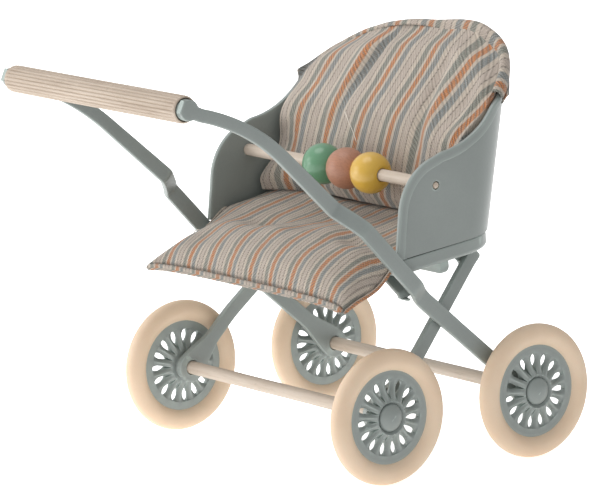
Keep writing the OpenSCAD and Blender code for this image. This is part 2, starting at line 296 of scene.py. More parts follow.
def cloth(name, pitch, shift, pattern):
    """Striped cotton. The attribute "weave" holds millimetres across and along the stripes."""
    n = Nodes(name)
    where = n.place(attribute="weave")
    wobble = n.noise(where, 0.45, 2)
    across, along, _ = n.split(where)
    across = n.add(across, n.times(n.math("SUBTRACT", wobble, 0.5), 0.6))
    unit = n.math("FRACT", n.math("DIVIDE", n.add(across, 50 * pitch - shift), pitch))
    orange, band, dot_lines = pattern
    base = n.ramp(unit, stripes(*pattern))

    yarn = n.times(n.wave(across, YARN), n.wave(along, YARN))
    twill = n.wave(n.add(across, along), 1.5 * YARN)
    fleck = n.noise(where, 1.3, 3, 0.8)
    slub = n.noise(n.place(attribute="weave", scale=(2.4, 0.22, 1)), 1.0, 2)

    coloured = n.grey(unit, [(0, 1), (orange, 0), (band[0], 1), (band[1], 0), (1 - band[1], 1),
                             (1 - band[0], 0), (1 - orange, 1)], "CONSTANT")
    mottle = n.grey(n.add(n.times(twill, 0.32), fleck), [(0.38, 0.0), (0.85, 0.95)])
    dark = n.mix(0.7, base, srgb(84, 82, 76))
    base = n.mix(n.times(mottle, n.math("MULTIPLY_ADD", coloured, 0.62, 0.38)), base, dark)
    base = n.tint(base, srgb(216, 205, 193), n.add(n.times(yarn, 0.28), fleck), 0.5, 0.95, 0.55)
    base = n.tint(base, srgb(150, 140, 130), slub, 0.45, 0.75, 0.35)

    for centre in dot_lines:
        near = n.math("ABSOLUTE", n.math("SUBTRACT", unit, centre))
        column = n.grey(n.times(near, pitch / 0.7), [(0.2, 1), (0.5, 0)])
        dots = n.times(column, n.grey(n.wave(along, 0.9), [(0.0, 0.3), (0.6, 0.8)]))
        base = n.mix(dots, base, srgb(104, 98, 90))

    base = n.tint(base, srgb(140, 130, 120), n.noise(where, 0.16, 2), 0.35, 0.75, 0.2)
    height = n.add(n.times(yarn, 0.5), n.times(twill, 0.35))
    height = n.add(height, n.times(fleck, 0.9))
    fuzz = n.noise(n.place(), 5200, 2)
    normal = n.bumped(height, 0.00018, 0.8, n.bumped(fuzz, 0.00005, 0.4))
    return n.finish(
        Base_Color=base, Roughness=n.soft(fleck, 0.95, 0.84), Normal=normal,
        Sheen_Weight=0.25, Sheen_Roughness=0.5, Specular_IOR_Level=0.15)


def thread():
    n = Nodes("white_thread")
    twist = n.noise(n.place(), 3500, 2)
    base = n.soft(twist, srgb(214, 204, 190), srgb(240, 234, 224))
    return n.finish(Base_Color=base, Roughness=n.soft(twist, 0.8, 0.95),
                    Sheen_Weight=0.3)


def painted_slit_shadow():
    # Painted shadow: near-black paint that stands in for the shade inside the slit between shell
    # and pan.
    n = Nodes("shadow_gap")
    fine = n.noise(n.place(), 900, 3)
    base = n.soft(fine, srgb(30, 32, 31), srgb(46, 49, 47))
    return n.finish(Base_Color=base, Roughness=n.soft(fine, 0.8, 0.95))


def floor_material():
    """Pale paper that glows, more towards the left: painted light, not a lamp falling on it, which
    also lights the seat from below.
    """
    n = Nodes("floor_paper")
    grain = n.noise(n.place(), 300, 2)
    base = n.soft(grain, srgb(250, 250, 250), srgb(252, 252, 252))
    x, _, _ = n.split(n.place())
    glow = n.grey(n.math("MULTIPLY_ADD", x, 2.2, 0.5), [(0.3, 1.0), (0.8, 0.3)])
    return n.finish(Base_Color=base, Roughness=0.9, Emission_Color=(1, 1, 1, 1),
                    Emission_Strength=glow)


PAINT = paint()
WOOD = wood("pale_wood", srgb(190, 174, 157), srgb(209, 196, 182))
GRIP_WOOD = wood("grip_wood", srgb(174, 157, 140), srgb(198, 183, 167), gloss=0.6)
RUBBER = rubber()
GREEN_LACQUER = lacquer("green_lacquer", srgb(98, 150, 114), 0.25, 0.26, 0.5)
TAN_LACQUER = lacquer("tan_lacquer", srgb(178, 126, 100), 0.75, 0.4, 0.15)
YELLOW_LACQUER = lacquer("yellow_lacquer", srgb(222, 178, 66), 0.12, 0.24, 0.5)
SEAT_CLOTH = cloth("seat_cloth", SEAT_PITCH, SEAT_SHIFT, SEAT_STRIPES)
BACK_CLOTH = cloth("back_cloth", 14.9, -3.2, BACK_STRIPES)
HEM_CLOTH = cloth("hem_cloth", SEAT_PITCH, SEAT_SHIFT, SEAT_STRIPES)
THREAD = thread()
ON_FRAME = (PAINT, "root", "frame_paint")   # material, body and slot of the fixed metal


# ---------------------------------------------------------------- mesh helpers

def linked(name, data):
    """A new object in the scene."""
    obj = bpy.data.objects.new(name, data)
    bpy.context.scene.collection.objects.link(obj)
    return obj


def piece(name, verts, faces, material, body, slot, replaces=(), sharp=40, weave=None):
    """A mesh in millimetres from the point midway between the axles, riding on a body."""
    mesh = bpy.data.meshes.new(name)
    mesh.from_pydata([at(*v) for v in verts], [], [tuple(f) for f in faces])
    if weave is not None:
        layer = mesh.attributes.new("weave", "FLOAT_VECTOR", "POINT")
        layer.data.foreach_set("vector", np.asarray(weave, np.float32).ravel())
    obj = linked(name, mesh)
    clean(obj, sharp)
    mesh.materials.append(material)
    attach(obj, body)
    if replaces:
        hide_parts(*replaces)
    return obj


def clean(obj, sharp):
    """Merges coincident points, turns the faces outwards and smooths all but sharp edges."""
    bm = bmesh.new()
    bm.from_mesh(obj.data)
    bmesh.ops.remove_doubles(bm, verts=bm.verts, dist=0.002 * MM)
    bmesh.ops.dissolve_degenerate(bm, edges=bm.edges, dist=0.0005 * MM)
    bmesh.ops.recalc_face_normals(bm, faces=bm.faces)
    bm.to_mesh(obj.data)
    bm.free()
    obj.data.shade_smooth()
    if sharp:
        obj.data.set_sharp_from_angle(angle=radians(sharp))


def apply_modifiers(obj):
    """Replaces the object's mesh by what its modifiers make of it."""
    graph = bpy.context.evaluated_depsgraph_get()
    made = bpy.data.meshes.new_from_object(obj.evaluated_get(graph))
    obj.modifiers.clear()
    obj.data = made


def drill(obj, x, axle, radius, depth):
    """Cuts a round hole through a piece, along X and in line with an axle or rod."""
    bm = bmesh.new()
    turn = Vector((0, 0, 1)).rotation_difference(Vector((1, 0, 0))).to_matrix().to_4x4()
    centre = Vector((x * MM, axle.y, axle.z))
    bmesh.ops.create_cone(
        bm, cap_ends=True, segments=48, radius1=radius * MM, radius2=radius * MM,
        depth=depth * MM, matrix=Matrix.Translation(centre) @ turn)
    mesh = bpy.data.meshes.new("drill")
    bm.to_mesh(mesh)
    bm.free()
    tool = linked("drill", mesh)
    cut = obj.modifiers.new("hole", "BOOLEAN")
    cut.operation, cut.solver, cut.object = "DIFFERENCE", "EXACT", tool
    apply_modifiers(obj)
    bpy.data.objects.remove(tool)
    obj.data.shade_smooth()
    obj.data.set_sharp_from_angle(angle=radians(40))
    even = obj.modifiers.new("even normals", "WEIGHTED_NORMAL")
    even.keep_sharp, even.weight = True, 100
    apply_modifiers(obj)


def quads(rows, cols, wrap=False):
    """Faces of a grid of points stored row by row; wrap joins each row's ends."""
    out = []
    for a in range(0, (rows - 1) * cols, cols):
        for j in range(cols if wrap else cols - 1):
            k = (j + 1) % cols
            out.append((a + j, a + k, a + cols + k, a + cols + j))
    return out


def arc(x, y, r, angles):
    """Points of a circle at angles in radians."""
    return [(x + r * cos(a), y + r * sin(a)) for a in angles]


def caps(rows, cols):
    """The two faces that close a tube of rings."""
    return [tuple(range(cols)), tuple((rows - 1) * cols + k for k in range(cols))]


def heading(path, i):
    """Direction of a path at its point i."""
    return Vector(path[min(i + 1, len(path) - 1)] - path[max(i - 1, 0)]).normalized()


def turned(name, profile, centre, material, body, slot, replaces=(), steps=64, sharp=40,
           radius=None):
    """A round piece about an axis along X: profile holds (x, r), open or a closed loop."""
    verts = []
    for x, r in profile:
        for k in range(steps):
            a = 2 * pi * k / steps
            rr = radius(x, r, a) if radius else r
            verts.append((centre[0] + x, centre[1] + rr * cos(a), centre[2] + rr * sin(a)))
    faces = quads(len(profile), steps, True)
    if profile[0] != profile[-1]:
        faces += caps(len(profile), steps)
    return piece(name, verts, faces, material, body, slot, replaces, sharp)


def millimetres(point):
    """A point of the model, in millimetres from the floor midway between the axles."""
    return (point.x / MM, (point.y - MID_Y) / MM, point.z / MM)


def resample(points, step):
    points = np.array(points, float)
    lengths = np.concatenate([[0], np.cumsum(np.linalg.norm(np.diff(points, axis=0), axis=1))])
    t = np.linspace(0, lengths[-1], max(2, int(lengths[-1] / step) + 1))
    return np.stack([np.interp(t, lengths, points[:, k]) for k in range(points.shape[1])], 1), t


def eased(points, step, radius):
    """An evenly spaced path whose corners are rounded over about the radius."""
    path, t = resample(points, step)
    reach = max(1, int(radius / step))
    weights = np.hanning(2 * reach + 3)[1:-1]
    weights /= weights.sum()
    head = path[0] + (path[0] - path[1]) * np.arange(reach, 0, -1)[:, None]
    tail = path[-1] + (path[-1] - path[-2]) * np.arange(1, reach + 1)[:, None]
    longer = np.vstack([head, path, tail])
    soft = np.stack([np.convolve(longer[:, k], weights, "valid") for k in range(3)], 1)
    return soft, t


def flat_section(width, thick, corner, crown):
    """A rounded rectangle; crown swells its broad faces like a flattened tube."""
    corner = min(corner, width / 2 * 0.98, thick / 2 * 0.98)
    pts = []
    for cx, cy, a0 in ((1, 1, 0), (-1, 1, 90), (-1, -1, 180), (1, -1, 270)):
        for k in range(5):
            a = radians(a0 + 90 * k / 4)
            pts.append((cx * (width / 2 - corner) + corner * cos(a),
                        cy * (thick / 2 - corner) + corner * sin(a)))
        if cx == cy:
            for k in (1, 2, 3):
                f = k / 4
                x = cx * (width / 2 - corner) * (1 - 2 * f)
                pts.append((x, cy * (thick / 2 + crown * 4 * f * (1 - f))))
    return pts


def sweep(name, path, widths, thick, corner, reference, replaces, crown=0.0):
    """A flat bar of painted metal along a path, its thickness along the reference direction."""
    reference = Vector(reference)
    verts = []
    for i, p in enumerate(path):
        tangent = heading(path, i)
        wide = tangent.cross(reference).normalized()
        flat = wide.cross(tangent).normalized()
        for a, b in flat_section(widths[i], thick, corner, crown):
            verts.append(Vector(p) + wide * a + flat * b)
    around = len(verts) // len(path)
    faces = quads(len(path), around, True) + caps(len(path), around)
    return piece(name, verts, faces, *ON_FRAME, replaces, sharp=35)


# ---------------------------------------------------------------- frame bars

EYE_X, EYE_R = 46, 4.5              # end of a bar round its axle
TIP_R = 3.05                        # end of an arm round the handle's rod
# Distance of the bars' middles from the centre plane, against height
ARM_FRONT = [(0, 46), (52.8, 46), (55.4, 47.8), (74.8, 47.8), (80.6, 41.3), (104, 44), (140, 44)]
STRUT_FRONT = [(0, 45.8), (35, 45.8), (60, 39.8), (80, 39.8)]


def eye_width(d, bar, taper):
    """Width at distance d up the bar from the eye's centre."""
    inside = 2 * np.sqrt(np.maximum(EYE_R**2 - np.minimum(d, 0) ** 2, 0.02))
    return np.where(d < 0, inside, 2 * EYE_R + (bar - 2 * EYE_R) * smooth(0, taper, d))


def arm_line():
    """Side view of an arm from its eye to the handle: three runs and a bend."""
    start, low, high = (millimetres(FRONT_AXLE)[1], 20), (-9.4, 51.1), (-34, 77)
    handle = millimetres(GRIP)[1:]
    radius, first, last = 68, 48.5, 76
    bend = [(-58 + radius * (cos(radians(a)) - cos(radians(first))),
             98.6 + radius * (sin(radians(a)) - sin(radians(first))))
            for a in np.linspace(first, last, 12)]
    d = np.array(start) - np.array(low)
    d = d / np.linalg.norm(d) * EYE_R
    end = np.array(handle) - np.array(bend[-1])
    tip = np.array(handle) + end / np.linalg.norm(end) * TIP_R
    return [np.array(start) + d, start, low, high, *bend, handle, tip]


def arm(side):
    name = "handle_arm_left" if side < 0 else "handle_arm_right"
    dense, _ = resample(arm_line(), 0.5)
    pts = [(line(ARM_FRONT, z), y, z) for y, z in dense]
    path, t = eased(pts, 0.5, 1.2)
    top = t[-1]
    to_eye = top - TIP_R - t
    widths = eye_width(t - EYE_R, 4.8, 15) + 0.3 * smooth(36, 48, t) - 1.2 * smooth(70, top - 14, t)
    widths = np.where(to_eye < 2.6, np.maximum(widths, 2 * np.sqrt(
        np.maximum(TIP_R**2 - to_eye**2, 0.02))), widths)
    path = path * np.array([side, 1, 1])
    obj = sweep(f"{name}_bar", path, widths, 1.65, 0.42, (1, 0, 0), [name], crown=0.04)
    drill(obj, side * EYE_X, FRONT_AXLE, 2.3, 8)


def strut(side):
    name = "strut_left" if side < 0 else "strut_right"
    foot = np.array((millimetres(REAR_AXLE)[1], 20.0))
    head = np.array((14.9, 62.0))
    d = (foot - head) / np.linalg.norm(foot - head) * EYE_R
    dense, _ = resample([foot + d, foot, head], 0.5)
    pts = [(line(STRUT_FRONT, z), y, z) for y, z in dense]
    path, t = eased(pts, 0.5, 4)
    widths = eye_width(t - EYE_R, 4.2, 13)
    widths = widths - 1.1 * smooth(t[-1] - 0.6, t[-1], t)
    path = path * np.array([side, 1, 1])
    obj = sweep(f"{name}_bar", path, widths, 2.0, 0.3, (1, 0, 0), [name], crown=0.03)
    drill(obj, side * EYE_X, REAR_AXLE, 2.3, 8)


for side in (-1, 1):
    arm(side)
    strut(side)


# ---------------------------------------------------------------- handle

HANDLE = (0, *millimetres(GRIP)[1:])


def grip():
    """Wooden grip with fine flutes, rounded ends and a shallow recess for each boss."""
    half, r = 42.5, 4.0
    end = [(half - 1.5, 3.3), (half - 1.45, 3.35), (half - 0.15, 3.4), (half, 3.46),
           (half - 0.02, 3.6), (half - 0.16, 3.78), (half - 0.45, 3.92), (half - 0.9, 3.98),
           (half - 1.5, r), (half - 4, r)]
    profile = [(-half + 1.5, 1.6)] + [(-x, rr) for x, rr in end]
    profile += [(x, r) for x in np.linspace(-36, 36, 25)]
    profile += end[::-1] + [(half - 1.5, 1.6)]
    flutes = 22

    def fluted(x, radius, a):
        if radius < 3.7:
            return radius
        fade = smooth(half - 0.1, half - 1.6, abs(x))
        groove = abs(cos(a * flutes / 2)) ** 7
        wander = 0.03 * noise.noise((x * 0.05, cos(a) * 2, sin(a) * 2))
        return radius - 0.34 * groove * fade + wander

    return turned("fluted_grip", profile, HANDLE, GRIP_WOOD, "grip", "bare_wood",
                  ["handle_grip"], steps=264, sharp=50, radius=fluted)


def handle_rod():
    """The steel rod's round boss at each end."""
    profile = [(-43.3, 0.5), (-43.3, 2.6), (-43.1, 2.95), (-42.7, 3.05), (-41.9, 3.05),
               (-41.5, 2.8), (-41.4, 1.5)]
    profile += [(-x, r) for x, r in profile[::-1]]
    return turned("handle_rod_turned", profile, HANDLE, *ON_FRAME, ["handle_rod"], steps=48)


grip()
handle_rod()


# ---------------------------------------------------------------- axles and wheels

def dowel(name, centre, half, r, body, replaces, peg=None):
    """A sanded dowel that isn't quite true, with softened ends."""
    soft = 0.25
    profile = [(-half, r - soft), (-half + 0.08, r - 0.08), (-half + soft, r)]
    profile += [(x, r) for x in np.linspace(-half + 2, half - 2, 40)]
    profile += [(-x, rr) for x, rr in profile[2::-1]]
    if peg:
        out, pr = peg
        tip = [(-out, 0.05), (-out + 0.04, pr * 0.55), (-out + 0.2, pr * 0.9), (-out + 0.45, pr),
               (-half - 0.01, pr)]
        profile = tip + profile + [(-x, rr) for x, rr in tip[::-1]]

    def uneven(x, radius, a):
        if abs(x) > half - 1:
            return radius
        return radius + 0.02 * noise.noise((x * 0.12, cos(a), sin(a) + radius))

    return turned(name, profile, millimetres(centre), WOOD, body, "bare_wood", replaces,
                  steps=48, radius=uneven)


dowel("front_axle_dowel", FRONT_AXLE, 52.0, 2.0, "front_wheels", ["axle_front"])
dowel("rear_axle_dowel", REAR_AXLE, 52.0, 2.0, "rear_wheels", ["axle_rear"])

SPOKES = 15
ACROSS = 8                          # faces from window to window
WINDOW_IN, WINDOW_OUT, WINDOW_HALF = 5.0, 11.4, 0.8


def window_half(r):
    """Half-width of a drop-shaped window at radius r: pointed towards the hub."""
    t = np.clip((r - WINDOW_IN) / (WINDOW_OUT - WINDOW_IN), 0, 1)
    widest = 0.64
    inner = (t / widest) ** 0.9
    outer = np.sqrt(np.clip(1 - ((t - widest) / (1 - widest)) ** 2, 0, 1))
    return WINDOW_HALF * np.where(t < widest, inner, outer)


def wheel_centre(side, axle):
    return (side * TRACK / 2 / MM, *millimetres(axle)[1:])


def disc_rows():
    """(radius, height, half-window, crest) from the dome over the rim to the hub's foot."""
    rim = 13.95
    window = (1 - np.cos(np.linspace(0, pi, 18))) / 2
    window = WINDOW_IN + (WINDOW_OUT - WINDOW_IN) * window
    dome = [(4.1 * sin(a), 1.35 + 2.0 * cos(a))
            for a in np.linspace(0.004, pi / 2, 12)]

    def rise(r):
        return (1 - smooth(3.6, 10.6, r)) ** 0.9

    def ribbed(r, way):
        crest = min(1.0, window_half(r) / 0.72) * (0.95 + 1.2 * rise(r))
        return (r, way * (1.06 + 1.35 * rise(r)), window_half(r), way * crest)

    rows = [(r, z, 0, 0) for r, z in dome] + [ribbed(r, 1) for r in window]
    rows += [(11.6, 1.06, 0, 0), (12.8, 1.06, 0, 0), (13.6, 1.05, 0, 0), (13.85, 0.98, 0, 0),
             (rim, 0.8, 0, 0), (rim, -0.8, 0, 0), (13.85, -0.98, 0, 0), (13.6, -1.05, 0, 0),
             (11.6, -1.06, 0, 0)]
    first_back = len(rows)
    rows += [ribbed(r, -1) for r in window[::-1]]
    rows += [(4.2, -2.3, 0, 0), (3.7, -2.35, 0, 0), (3.6, -2.6, 0, 0), (3.6, -3.5, 0, 0),
             (3.4, -3.68, 0, 0), (2.3, -3.68, 0, 0), (2.15, -3.5, 0, 0), (2.15, -2.4, 0, 0),
             (0.02, -2.4, 0, 0)]
    return rows, len(dome), len(window), first_back


def wheel(side, axle, body, name, phase):
    """Moulded disc: deep ribs between drop-shaped windows, rising to a domed hub."""
    rows, top_start, count, back_start = disc_rows()
    centre = wheel_centre(side, axle)
    verts = []
    for r, z, half, crest in rows:
        gap = asin(min(1, half / max(r, 0.1)))
        for spoke in range(SPOKES):
            for k in range(ACROSS + 1):
                s = k / ACROSS
                a0 = 2 * pi * spoke / SPOKES + gap
                a1 = 2 * pi * (spoke + 1) / SPOKES - gap
                a = a0 + (a1 - a0) * s + phase
                h = z - crest * abs(2 * s - 1) ** 1.35
                verts.append((centre[0] + side * h, centre[1] + r * cos(a),
                              centre[2] + r * sin(a)))
    wide = SPOKES * (ACROSS + 1)
    faces = []
    for i in range(len(rows) - 1):
        for spoke in range(SPOKES):
            for k in range(ACROSS):
                a = i * wide + spoke * (ACROSS + 1) + k
                faces.append((a, a + 1, a + 1 + wide, a + wide))
    for j in range(count - 1):
        near, far = top_start + j, top_start + j + 1
        back_near = back_start + count - 1 - j
        for spoke in range(SPOKES):
            for k in (0, ACROSS):
                column = spoke * (ACROSS + 1) + k
                faces.append((near * wide + column, far * wide + column,
                              (back_near - 1) * wide + column, back_near * wide + column))
    return piece(f"{name}_disc", verts, faces, PAINT, body, "frame_paint", [name], sharp=42)


def tyre(side, axle, body, name):
    """Soft round tyre that dips to the disc's edge."""
    centre = wheel_centre(side, axle)
    section = []
    for a in np.linspace(0, 2 * pi, 44, endpoint=False):
        c, s = cos(a), sin(a)
        r = 16.75 + (3.25 if c > 0 else 3.3) * c
        x = 2.68 * copysign(abs(s) ** 0.9, s)
        if c < 0:
            x *= 1 - 0.25 * abs(c) ** 2
        section.append((x, max(r, 13.4)))
    section.append(section[0])
    return turned(f"{name}_ring", section, centre, RUBBER, body, "tyre_rubber", [name],
                  steps=128, sharp=0)


for end, axle, turn in (("front", FRONT_AXLE, 14), ("rear", REAR_AXLE, 11)):
    for side, hand in ((-1, "left"), (1, "right")):
        phase = radians(turn + (6 if side > 0 else 0))
        wheel(side, axle, f"{end}_wheels", f"wheel_{end}_{hand}", phase)
        tyre(side, axle, f"{end}_wheels", f"tyre_{end}_{hand}")


# ---------------------------------------------------------------- seat metal

# The shell in millimetres: its back leans about the height LEAN_Z, its plan is a U with round
# corners, and its top is a crown between two shoulders. NOSE and DIP are arcs of a side's edge,
# as (y, z, radius)
LEAN, LEAN_Z = radians(9.5), 67.0
SEAT_HW = 46.2
SEAT_REAR = 22.0
CORNER = 15.0
ARCH_TOP, CROWN_R, SHOULDER_R = 123.8, 89.0, 20.0
SHOULDER_X = SEAT_HW + 1 - SHOULDER_R
SHOULDER_Z = ARCH_TOP - CROWN_R + sqrt((CROWN_R - SHOULDER_R) ** 2 - SHOULDER_X**2)
NOSE = (-0.8, 76.0, 17.5)
DIP = (-6.0, 122.5, 28.7)
FLAT = SEAT_HW - CORNER            # half of the straight run across the back
BEND = CORNER * pi / 2


def plan(p, out=0.0):
    """Plan point at distance p from the middle of the back, pushed outwards."""
    s, q = (1 if p >= 0 else -1), abs(p)
    if q <= FLAT:
        return s * q, SEAT_REAR + out
    if q <= FLAT + BEND:
        a = (q - FLAT) / CORNER
        return (s * (FLAT + (CORNER + out) * sin(a)),
                SEAT_REAR - CORNER + (CORNER + out) * cos(a))
    return s * (SEAT_HW + out), SEAT_REAR - CORNER - (q - FLAT - BEND)


def lean(x, y, h):
    """From the leaning wall's own frame to the model's."""
    return (x, y * cos(LEAN) + h * sin(LEAN),
            LEAN_Z - y * sin(LEAN) + h * cos(LEAN))


def unlean(y, z):
    """From the model's frame, y and z, to the leaning wall's."""
    z = z - LEAN_Z
    return y * cos(LEAN) - z * sin(LEAN), y * sin(LEAN) + z * cos(LEAN)


def wall(p, h, out=0.0):
    """Point of the shell at p round its plan and h up the lean."""
    x, y = plan(p, out)
    return lean(x, y, h)


def arch_z(x):
    """Height of the metal's upper edge in the front view."""
    x = abs(x)
    turn = SHOULDER_X * CROWN_R / (CROWN_R - SHOULDER_R)
    if x <= turn:
        return ARCH_TOP - CROWN_R + sqrt(CROWN_R**2 - x * x)
    return SHOULDER_Z + sqrt(max(0.0, SHOULDER_R**2 - (x - SHOULDER_X) ** 2))


def side_p(y):
    """Distance along the plan of a point at depth y of the leaning frame, on the side or corner."""
    if y <= SEAT_REAR - CORNER:
        return FLAT + BEND + (SEAT_REAR - CORNER - y)
    return FLAT + CORNER * acos(min(1.0, (y - SEAT_REAR + CORNER) / CORNER))


def panel_outline():
    """(p, h) of the shell's free edge on the right, from its front foot up to mid-back."""
    pts = [(-19.5, 64.5), (-18.9, 71), (-18.3, 76)]
    pts += arc(*NOSE, np.radians(np.linspace(176, 101, 16)))
    pts += arc(*DIP, np.radians(np.linspace(-85, -24, 18)))
    out = []
    for y, z in pts:
        yl, h = unlean(y, z)
        p = side_p(yl)
        if z < 90 or z < arch_z(plan(p)[0]):
            out.append((p, h))
    p = out[-1][0]
    for q in np.linspace(p - 0.8, 0, 40):
        x, yl = plan(q)
        h = (arch_z(x) - LEAN_Z + yl * sin(LEAN)) / cos(LEAN)
        out.append((q, h))
    return out


def full_outline(step=0.8):
    """(p, h) of the whole free edge, from one front foot to the other."""
    half = panel_outline()
    ring = half + [(-p, h) for p, h in half[-2::-1]]
    path, _ = eased([(p, h, 0) for p, h in ring], step, 1.6)
    return path[:, :2]


PAN_Z, PAN_H, TILT = 61.5, 4.5, radians(7)


def pan_point(x, y, z):
    """From the pan's tilted frame to the model's."""
    return (x, y * cos(TILT) - z * sin(TILT),
            PAN_Z + y * sin(TILT) + z * cos(TILT))


def shell_foot(p):
    """Height up the lean at which the shell meets the pan's upper edge."""
    y = plan(p)[1]
    return PAN_Z + PAN_H + 0.15 + 0.1228 * y - LEAN_Z + y * sin(LEAN)


def shell():
    """One bent sheet with a raised border along its free edge."""
    edge = full_outline()
    count = len(edge)
    tangent = np.gradient(edge, axis=0)
    tangent /= np.linalg.norm(tangent, axis=1)[:, None]
    inward = np.stack([-tangent[:, 1], tangent[:, 0]], 1)
    if np.dot(inward[count // 2], (0.0, 20.0) - edge[count // 2]) < 0:
        inward = -inward
    rim = 0.55
    section = [(3.6, 0.0), (3.05, 0.0), (2.92, 0.03), (2.8, 0.2), (2.68, rim - 0.03), (2.5, rim),
               (1.4, rim), (0.7, rim), (0.42, rim - 0.02)]
    for k in range(1, 8):
        a = pi * k / 8
        section.append((0.4 - 0.4 * sin(a), -0.275 + 0.725 * cos(a)))
    section += [(0.42, -1.0), (1.5, -1.0), (3.6, -1.0)]
    verts = []
    for (p, h), (ip, ih) in zip(edge, inward):
        for d, out in section:
            verts.append(wall(p + ip * d, h + ih * d, out))
    around = len(section)
    faces = quads(count, around)
    span = edge[0][0] - 4
    steps = 24
    for out in (0.0, -1.0):
        start = len(verts)
        for i, ((p, h), (ip, ih)) in enumerate(zip(edge, inward)):
            q0, h0 = p + ip * 3.6, h + ih * 3.6
            q1 = span * (1 - 2 * (i / (count - 1)))
            if abs(q0) > 60:
                q1 = copysign(min(abs(q1), abs(q0)), q1)
            h1 = shell_foot(q1)
            for k in range(steps + 1):
                s = k / steps
                verts.append(wall(q0 + (q1 - q0) * s, h0 + (h1 - h0) * s, out))
        faces += [tuple(start + v for v in face) for face in quads(count, steps + 1)]
    return piece("seat_shell_sheet", verts, faces, *ON_FRAME, ["seat_shell"], sharp=50)


def skirt():
    """The part of the shell that stands inside the pan, in the slit, given near-black paint as a
    painted shadow.
    """
    verts = []
    reach = FLAT + BEND + 24
    ps = np.linspace(-reach, reach, 90)
    for p in ps:
        for rise, inset in ((-1, 0.3), (1.5, 0.3), (1.5, 0.9), (-1, 0.9)):
            verts.append(pan_point(*plan(p, -inset), PAN_H + rise))
    faces = quads(len(ps), 4, True) + caps(len(ps), 4)
    return piece("seat_shell_skirt", verts, faces, painted_slit_shadow(), "root", "frame_paint")


def pan():
    """Shallow tray with a rolled lower edge, open at the front."""
    section = [(0.85, 1.0), (0.82, 4.2), (0.7, 4.42), (0.45, 4.5), (0.18, 4.42), (0.04, 4.2),
               (0.0, 3.9), (0.0, 1.3)]
    for a in np.radians(np.linspace(0, 90, 7)):
        section.append((1.2 - 1.2 * cos(a), 1.2 - 1.2 * sin(a)))
    reach = FLAT + BEND + 26
    ps = np.linspace(-reach, reach, 121)
    verts = []
    for p in ps:
        for inset, z in section:
            x, y = plan(p, -inset)
            verts.append(pan_point(x, y + 0.3, z))
    around = len(section)
    faces = quads(len(ps), around) + caps(len(ps), around)
    faces.append(tuple(i * around for i in range(len(ps))))
    faces.append(tuple(i * around + around - 1 for i in range(len(ps)))[::-1])
    last = (len(ps) - 1) * around
    faces.append((0, last, last + around - 1, around - 1))
    return piece("seat_pan_tray", verts, faces, *ON_FRAME, ["seat_pan"], sharp=35)


def strap(name, half, y, node):
    """A cross strap under the pan, its ends turned down."""
    path = [pan_point(x, y, z) for x, z in half + [(-x, z) for x, z in half[::-1]]]
    path, t = eased(path, 0.5, 1.2)
    ends = np.minimum(t, t[-1] - t)
    widths = 5.0 - 1.6 * (1 - smooth(0, 1.2, ends))
    return sweep(name, path, widths, 1.2, 0.4, (0, -0.12, 1), [node])


def rib():
    """Pressed gutter with closed, rounded ends."""
    outer = [(-1.8, 0.0)]
    outer += arc(-1.2, -3.2, 0.6, np.radians(np.linspace(180, 270, 6)))
    outer += arc(0.3, -2.3, 1.5, np.radians(np.linspace(270, 360, 9)))
    outer += [(1.8, 0.0)]
    xs = np.concatenate([[-44, -43.9, -43.5, -42.8], np.linspace(-41.5, 41.5, 30),
                         [42.8, 43.5, 43.9, 44]])
    verts = []
    for x in xs:
        grow = 0.72 + 0.28 * sqrt(max(0.0, 1 - (max(0, abs(x) - 42.8) / 1.2) ** 2))
        for y, z in outer:
            verts.append(pan_point(x, y * grow, z * grow - 0.02))
    faces = quads(len(xs), len(outer), True) + caps(len(xs), len(outer))
    return piece("pan_rib_gutter", verts, faces, *ON_FRAME, ["pan_rib"])


def rivets():
    """Low domed heads above and below the pan."""
    verts, faces = [], []
    steps = 24
    rings = [(0.02, 0.62), (0.6, 0.58), (1.1, 0.44), (1.5, 0.2), (1.65, 0.0), (1.65, -0.1)]
    for x in (-20, 20):
        for y in (-16, 11):
            for base, way in ((1.0, 1), (-1.2, -1)):
                start = len(verts)
                for r, z in rings:
                    for k in range(steps):
                        a = 2 * pi * k / steps
                        verts.append(pan_point(
                            x + r * cos(a), y + r * sin(a), base + way * z))
                head = quads(len(rings), steps, True) + caps(len(rings), steps)[1:]
                faces += [tuple(start + v for v in face) for face in head]
    return piece("pan_rivet_heads", verts, faces, *ON_FRAME, ["pan_rivets"])


shell_obj = shell()
for side in (-1, 1):
    drill(shell_obj, side * SEAT_HW, ROD, 1.3, 6)
skirt()
pan()
strap("front_cross_strap_bent", [(44.4, -7.8), (44.4, -5.7), (36.6, -0.65)], -16,
      "front_cross_strap")
strap("rear_cross_strap_bent", [(38.2, -4.6), (38.2, -1.7), (37.1, -0.65)], 11, "rear_cross_strap")
rib()
rivets()


# ---------------------------------------------------------------- bead rod and beads

dowel("bead_rod_dowel", ROD, SEAT_HW - 1.05, 1.8, "root", ["bead_rod"], peg=(46.45, 0.98))


def bead(colour, material, body):
    """Turned wooden bead with an eased bore."""
    node = f"bead_{colour}"
    centre = millimetres(middle(node))
    r, half, bore = 6.22, 5.68, 1.95
    edge = acos(half / r * 0.985)
    profile = [(-2.0, bore), (-half + 0.35, bore), (-half + 0.1, bore + 0.08),
               (-half - 0.02, bore + 0.3)]
    profile += arc(0, 0, r, np.linspace(pi - edge, edge, 48))
    profile += [(half + 0.02, bore + 0.3), (half - 0.1, bore + 0.08), (half - 0.35, bore),
                (2.0, bore)]
    profile.append(profile[0])

    def lumpy(x, radius, a):
        if radius < 2.6:
            return radius
        where = (x * 0.5 + centre[0], 1.4 * cos(a), 1.4 * sin(a))
        return radius + 0.035 * noise.noise(where)

    return turned(f"{colour}_bead_turned", profile, centre, material, body, f"{colour}_bead",
                  [node], steps=72, sharp=45, radius=lumpy)


bead("green", GREEN_LACQUER, "first_bead")
bead("tan", TAN_LACQUER, "second_bead")
bead("yellow", YELLOW_LACQUER, "third_bead")


# ---------------------------------------------------------------- soft parts

